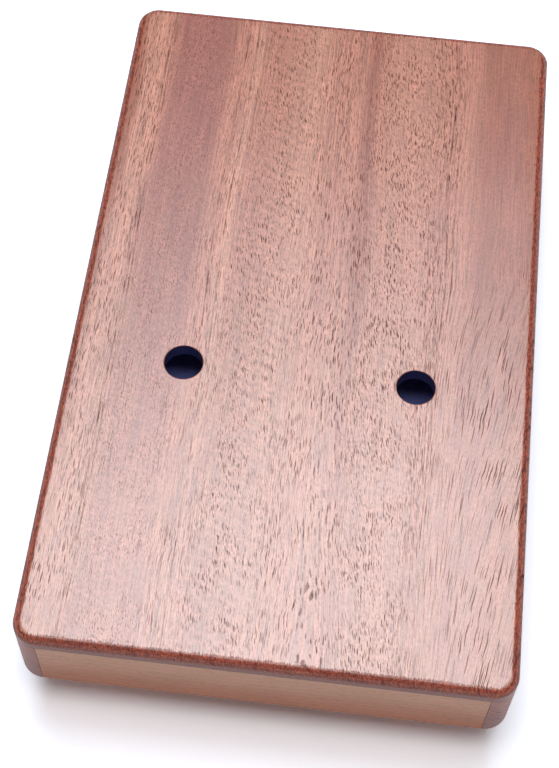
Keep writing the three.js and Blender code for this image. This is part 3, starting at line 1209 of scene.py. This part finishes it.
    def _pocket(self, material: bpy.types.Material) -> bpy.types.Object:
        """What the rails leave free for the face plate."""
        size, gap = self.face.size, self.pocket_gap
        return slab_shell(
            size.x + 2 * gap, size.y + 2 * gap, self.rabbet_radius + gap,
            self.face.low.z - 5.0, self.face.high.z + gap,
        ).to_object("pocket", [material])

    def _screw_block(self) -> None:
        """The block inside the box keeps its CAD mesh and gets raw wood."""
        raw = PlainWood(
            "raw_block", (0.60, 0.44, 0.29), (0.45, 0.30, 0.18), (0.30, 0.18, 0.10),
            way=GrainWay.ACROSS_BOX, pores=0.4, roughness=0.75, coat=0.0,
        ).build()
        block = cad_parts["screw_block"]
        block.data.materials.clear()
        block.data.materials.append(raw)
        report(block)


@dataclass
class Bridges:
    """The two wooden bridges, the rods on them and the pressure bar with its screws. Lengths are millimetres."""

    edge: float = 0.6
    groove: float = 1.8
    rod_edge: float = 0.4
    bar_hole: float = 2.6
    thread_pitch: float = 0.9
    thread_depth: float = 0.26
    thread_start: float = 16.0
    thread_run_in: float = 1.5
    shank_radius: float = 1.0
    point_length: float = 3.0
    screw_sides: int = 20
    head_height: float = 1.5
    head_round: float = 0.7
    recess_width: float = 0.62
    recess_reach: float = 1.35
    recess_depth: float = 0.85

    def build(self) -> None:
        """Makes and dresses the bridges, rods, bar and screws."""
        wood = PlainWood(
            "bridge_wood", (0.20, 0.095, 0.065), (0.11, 0.045, 0.032), (0.04, 0.018, 0.014),
            way=GrainWay.ACROSS_BOX, pores=0.6, roughness=0.42, coat=0.3,
        ).build()
        polished = Steel("polished_rod", (0.74, 0.75, 0.77), Polish.POLISHED, (7.0, 0.15, 0.15)).build()
        screws = Steel("screw_steel", (0.60, 0.60, 0.59), Polish.TURNED, (0.3, 0.3, 0.12)).build()
        for name, base, crest in (("saddle_bridge", 12.0, 6.0), ("rear_bridge", 9.0, 6.0)):
            self._bridge(name, base, crest, wood)
        for name in ("saddle_rod", "rear_rod"):
            self._rod(name, polished)
        self._bar(polished)
        for number in range(1, 5):
            self._screw(f"pressure_screw_{number}", screws)

    def _bridge(self, node: str, base: float, crest: float, wood: bpy.types.Material) -> None:
        """A bridge with sloping sides, eased edges and a groove along its crest.

        Args:
            node: The CAD node that it stands for.
            base: Its width against the face plate.
            crest: Its width at the rod.
            wood: Its material.
        """
        span = Span.of(node)
        rod = Span.of(node.replace("bridge", "rod")).centre
        top, bottom = span.high.z, span.low.z

        def profile(inset: float) -> list[tuple[float, float]]:
            """The section's outline with its outer sides moved in by inset."""
            half_groove = math.sqrt(self.groove ** 2 - (rod.z - bottom) ** 2)
            start = math.atan2(bottom - rod.z, -half_groove)
            sweep = math.atan2(bottom - rod.z, half_groove) - start
            if sweep < 0.0:
                sweep += math.tau
            sweep -= math.tau
            arc = [start + sweep * step / 14 for step in range(15)]
            groove = [(self.groove * math.cos(a), rod.z + self.groove * math.sin(a)) for a in arc]
            half_base, half_crest = base / 2.0 - inset, crest / 2.0 - inset * 0.8
            low = bottom + inset * 0.8
            left = [(-half_base, top), (-half_crest - 0.12, low + 0.45), (-half_crest + 0.25, low)]
            right = [(-a, b) for a, b in reversed(left)]
            lifted = [(a, max(b, low)) for a, b in groove]
            return left + lifted + right

        stops = ((span.low.x, self.edge), (span.low.x + self.edge * 0.3, self.edge * 0.3),
                 (span.low.x + self.edge, 0.0), (span.high.x - self.edge, 0.0),
                 (span.high.x - self.edge * 0.3, self.edge * 0.3), (span.high.x, self.edge))
        rings = [[(x, rod.y + a, b) for a, b in profile(inset)] for x, inset in stops]
        bridge = Shell().skin(rings).to_object(f"{node}_grooved", [wood])
        settle(bridge, node)

    def _rod_profile(self, radius: float, half: float) -> list[tuple[float, float]]:
        """A rod's profile with rounded ends, as radius and place."""
        start = [(radius - self.rod_edge * (1.0 - math.sin(a)), self.rod_edge * (1.0 - math.cos(a)) - half)
                 for a in quarter(4)]
        return [(radius * 0.5, -half)] + start + [(r, -p) for r, p in reversed(start)] + [(radius * 0.5, half)]

    def _rod(self, node: str, steel: bpy.types.Material) -> None:
        """A polished rod with rounded ends, in place of a CAD node."""
        span = Span.of(node)
        profile = self._rod_profile(span.size.z / 2.0, span.size.x / 2.0)
        rod = lathe_shell(profile, tuple(span.centre), Axis.ACROSS, 56)
        settle(rod.to_object(f"{node}_polished", [steel]), node)

    def _bar(self, steel: bpy.types.Material) -> None:
        """The pressure bar with a countersunk hole for each screw."""
        span = Span.of("pressure_bar")
        radius = span.size.z / 2.0
        bar = lathe_shell(
            self._rod_profile(radius, span.size.x / 2.0), tuple(span.centre), Axis.ACROSS, 72,
        ).to_object("pressure_bar_drilled", [steel])
        cutters = []
        for number in range(1, 5):
            x = Span.of(f"pressure_screw_{number}").centre.x
            hole, wide = self.bar_hole / 2.0, self.bar_hole / 2.0 + 0.5
            profile = [(wide, -radius - 1.0), (wide, -radius), (hole, -radius + 0.5), (hole, radius + 1.0)]
            cutter = lathe_shell(profile, (x, span.centre.y, span.centre.z), Axis.UPRIGHT, 32)
            cutters.append(cutter.to_object("drill", [steel]))
        carve(bar, cutters)
        settle(bar, "pressure_bar")

    def _screw(self, node: str, steel: bpy.types.Material) -> None:
        """A pan-headed screw with a cross recess and a cut thread near its point.

        Args:
            node: The CAD node that it stands for.
            steel: Its material.
        """
        span = Span.of(node)
        x, y = span.centre.x, span.centre.y
        head_radius, shank_radius = span.size.x / 2.0, self.shank_radius
        tip, sides = span.high.z, self.screw_sides
        rings: list[list[Point]] = []
        head = [(head_radius * 0.35, 0.0), (head_radius - self.head_round, 0.0)]
        head += [(head_radius - self.head_round * (1.0 - math.sin(a)), self.head_round * (1.0 - math.cos(a)))
                 for a in quarter(5)]
        head += [(head_radius, self.head_height), (shank_radius, self.head_height)]
        for radius, z in head:
            rings.append([(x + a, y + b, z) for a, b in circle(radius, sides)])
        start, step = self.thread_start, self.thread_pitch / 6.0
        rings.append([(x + a, y + b, start) for a, b in circle(shank_radius, sides)])
        count = int((tip - start) / step)
        for level in range(1, count):
            z = start + level * step
            taper = min(1.0, (tip - z) / self.point_length)
            ring = []
            for side in range(sides):
                angle = math.tau * side / sides
                turn = ((z - start) / self.thread_pitch - side / sides) % 1.0
                ridge = max(0.0, 1.0 - abs(turn - 0.5) * 3.2)
                fade = min(1.0, (z - start) / self.thread_run_in)
                radius = (shank_radius - self.thread_depth * (1.0 - ridge) * fade) * max(taper, 0.06)
                ring.append((x + radius * math.cos(angle), y + radius * math.sin(angle), z))
            rings.append(ring)
        screw = Shell().skin(rings).to_object(f"{node}_pan_head", [steel])
        reach, half, deep = self.recess_reach, self.recess_width / 2.0, self.recess_depth
        arms = [box_shell((x - reach, y - half, -1.0), (x + reach, y + half, deep)),
                box_shell((x - half, y - reach, -1.0), (x + half, y + reach, deep - 0.01))]
        carve(screw, [arm.to_object("recess", [steel]) for arm in arms])
        settle(screw, node)


@dataclass
class Tines:
    """The seventeen steel tines, each one strip from its tail to its tip. Lengths are millimetres."""

    count: int = 17
    tip_width: float = 4.7
    tip_thickness: float = 0.6
    straight_run: float = 4.5
    tip_flare: float = 14.0
    tail_round: float = 1.0
    curl_share: float = 0.3
    rise_power: float = 1.25
    curl_power: float = 6.0
    bend_share: float = 0.65
    edge: float = 0.16
    tip_round_share: float = 0.94

    def build(self) -> None:
        """Makes and dresses every tine."""
        steel = Steel("tine_steel", (0.66, 0.67, 0.68), Polish.BRUSHED, (0.14, 10.0, 0.14)).build()
        for number in range(1, self.count + 1):
            self._tine(f"tine_{number:02d}", steel)

    def _section(
        self, x: float, y: float, z: float, slope: float, width: float, thickness: float
    ) -> list[Point]:
        """One rounded section of a strip.

        Args:
            x: The middle of the strip across the box.
            y: Where its outer side is along the box.
            z: Height of its outer side.
            slope: How steeply the strip runs towards the floor, in radians.
            width: Its width.
            thickness: Its thickness.

        Returns:
            The section's points.
        """
        edge = min(self.edge, width * 0.3)
        half = width / 2.0
        flat = []
        for corner, (u, v) in enumerate(((1, 1), (-1, 1), (-1, -1), (1, -1))):
            for step in range(3):
                angle = (corner + step / 2.0) * QUARTER_TURN
                flat.append((
                    u * (half - edge) + edge * math.cos(angle),
                    (thickness - edge if v > 0 else edge) + edge * math.sin(angle),
                ))
        return [(x + u, y - v * math.sin(slope), z + v * math.cos(slope)) for u, v in flat]

    def _tine(self, node: str, steel: bpy.types.Material) -> None:
        """One tine, one strip from its clamped half to its speaking half, whose shape curves down towards its tip.

        Args:
            node: The CAD node of its speaking half. Its clamped half is this name with _root.
            steel: Its material.
        """
        root, tongue = Span.of(f"{node}_root"), Span.of(node)
        saddle = Span.of("saddle_rod").centre.y
        x, outer, thickness = root.centre.x, root.low.z, root.size.z
        width = root.size.x
        length, rise = saddle - tongue.low.y, outer - tongue.low.z
        run = length - self.straight_run
        rings = []
        for inset, narrow in ((0.0, self.tail_round), (0.13, 0.5), (0.5, 0.13), (self.tail_round, 0.0)):
            rings.append(self._section(
                x, root.high.y - inset * self.tail_round, outer, 0.0,
                width - 2.0 * narrow * self.tail_round, thickness))
        rings.append(self._section(x, saddle + 4.0, outer, 0.0, width, thickness))
        round_start = length - self.tip_width / 2.0
        sweep = self.tip_round_share * QUARTER_TURN

        def station(along: float, width_share: float) -> list[Point]:
            """The section at a distance from the saddle."""
            share = max(0.0, (along - self.straight_run) / run)
            curl = self.curl_share * share ** self.curl_power
            drop = rise * ((1 - self.curl_share) * share ** self.rise_power + curl)
            rate = (1 - self.curl_share) * self.rise_power * share ** (self.rise_power - 1.0)
            rate += self.curl_share * self.curl_power * share ** (self.curl_power - 1.0)
            slope = math.atan(rise / run * rate)
            flare = (along - length + self.tip_flare) / (round_start - length + self.tip_flare)
            flare = min(1.0, max(0.0, flare))
            flare = flare * flare * (3.0 - 2.0 * flare)
            wide = (width + (self.tip_width - width) * flare) * width_share
            thick = thickness + (self.tip_thickness - thickness) * flare
            return self._section(x, saddle - along, outer - drop, slope, wide, thick)

        steps = 30
        for step in range(steps + 1):
            rings.append(station(0.15 + (round_start - 0.15) * step / steps, 1.0))
        tip_steps = 9
        for step in range(1, tip_steps + 1):
            angle = step / tip_steps * sweep
            along = round_start + math.sin(angle) / math.sin(sweep) * self.tip_width / 2.0
            rings.append(station(along, math.cos(angle)))
        tine = Shell().skin(rings).to_object(f"{node}_strip", [steel])
        soften_edges(tine, 50.0)
        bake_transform(tine)
        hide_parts(node, f"{node}_root")
        report(tine)


# Stage


WINDOW_COLOUR = (0.82, 0.92, 1.0)
FILL_COLOUR = (1.0, 0.98, 0.95)


@dataclass(frozen=True)
class Softbox:
    """A rectangular lamp. Its radiance is how bright its surface is, where 1 is white."""

    name: str
    place: Point
    size: tuple[float, float]
    radiance: float
    colour: Colour


@dataclass
class Studio:
    """Floor, lamps and camera. Lengths are metres."""

    floor_half: float = 3.0
    lens: float = 77.435
    camera_place: Point = (0.013673, -0.235868, 0.404141)
    camera_right: Point = (0.99317038, 0.1154195, 0.01705674)
    camera_down: Point = (0.10820085, -0.85646438, -0.50473889)
    camera_forward: Point = (-0.04364822, 0.50313727, -0.86310354)
    lamps: tuple[Softbox, ...] = (
        Softbox("key_softbox", (-0.035, 0.20, 0.95), (0.60, 0.46), 5.0, WINDOW_COLOUR),
        Softbox("softbox_edge", (-0.035, 0.56, 0.95), (0.60, 0.26), 2.6, WINDOW_COLOUR),
        Softbox("front_fill", (0.0, -0.20, 0.95), (0.70, 0.32), 4.4, FILL_COLOUR),
        Softbox("under_fill", (0.0, 0.0, -0.90), (0.90, 0.90), 1.8, FILL_COLOUR),
    )
    aim: Vector = field(default_factory=lambda: Vector((0.0, 0.0, 0.03)))
    sky: float = 0.12
    backdrop_top: tuple[float, float] = (0.40, 0.30)

    def build(self) -> None:
        """Sets up the floor, the lamps, the camera and the view."""
        self._floor()
        for softbox in self.lamps:
            self._lamp(softbox)
        self._world()
        self._camera()
        bpy.context.scene.view_settings.view_transform = "Standard"

    def _floor(self) -> None:
        """A pale sheet of paper that the instrument lies on."""
        half = self.floor_half / MM
        shell = Shell()
        steps = 12
        grid = [[shell.mesh.verts.new((half * (2 * i / steps - 1), half * (2 * j / steps - 1), 0.0))
                 for i in range(steps + 1)] for j in range(steps + 1)]
        for low, high in zip(grid, grid[1:]):
            for i in range(steps):
                shell.mesh.faces.new((low[i], low[i + 1], high[i + 1], high[i]))
        floor = shell.to_object("paper_floor", [PaleFloor().build()])
        floor.data.validate()
        if floor.data.polygons[0].normal.z < 0.0:
            floor.data.flip_normals()

    def _lamp(self, softbox: Softbox) -> None:
        """A soft lamp aimed at the instrument."""
        width, height = softbox.size
        data = bpy.data.lights.new(softbox.name, "AREA")
        data.shape = "RECTANGLE"
        data.size, data.size_y = width, height
        data.energy = softbox.radiance * math.pi * width * height
        data.color = softbox.colour
        lamp = bpy.data.objects.new(softbox.name, data)
        lamp.location = softbox.place
        lamp.rotation_mode = "QUATERNION"
        lamp.rotation_quaternion = (self.aim - Vector(softbox.place)).to_track_quat("-Z", "Y")
        bpy.context.scene.collection.objects.link(lamp)

    def _world(self) -> None:
        """Even light from all round, and plain white behind the floor."""
        g = Graph("studio_sky", world=True)
        values = {"Color": (0.97, 0.985, 1.0, 1.0), "Strength": self.sky}
        light = g.read("ShaderNodeBackground", "Background", values=values)
        white = g.read("ShaderNodeBackground", "Background", values={"Color": (*WHITE, 1.0), "Strength": 1.0})
        _, _, up = g.split(g.read("ShaderNodeTexCoord", "Generated"))
        mirrored = g.rays("Glossy", "Transmission") * g.unbounced() * up.rise(*self.backdrop_top)
        backdrop = g.rays("Camera") + mirrored
        bpy.context.scene.world = g.end(g.mix_shaders(backdrop.clamp(), light, white))

    def _camera(self) -> None:
        """The camera at the photograph's viewing angle."""
        data = bpy.data.cameras.new("photo_camera")
        data.lens = self.lens
        data.sensor_width = 36.0
        data.sensor_fit = "AUTO"
        data.clip_start = 0.01
        data.clip_end = 20.0
        camera = bpy.data.objects.new("photo_camera", data)
        right, down, forward = (Vector(v) for v in (self.camera_right, self.camera_down, self.camera_forward))
        matrix = Matrix((right, -down, -forward)).transposed().to_4x4()
        matrix.translation = Vector(self.camera_place)
        camera.matrix_world = matrix
        bpy.context.scene.collection.objects.link(camera)
        bpy.context.scene.camera = camera


def main() -> None:
    """Builds the instrument, then the studio round it."""
    logging.basicConfig(level=logging.INFO, format="%(name)s: %(message)s")
    for part in (SoundBox(), Bridges(), Tines(), Studio()):
        part.build()


if __name__ == "__main__":
    main()
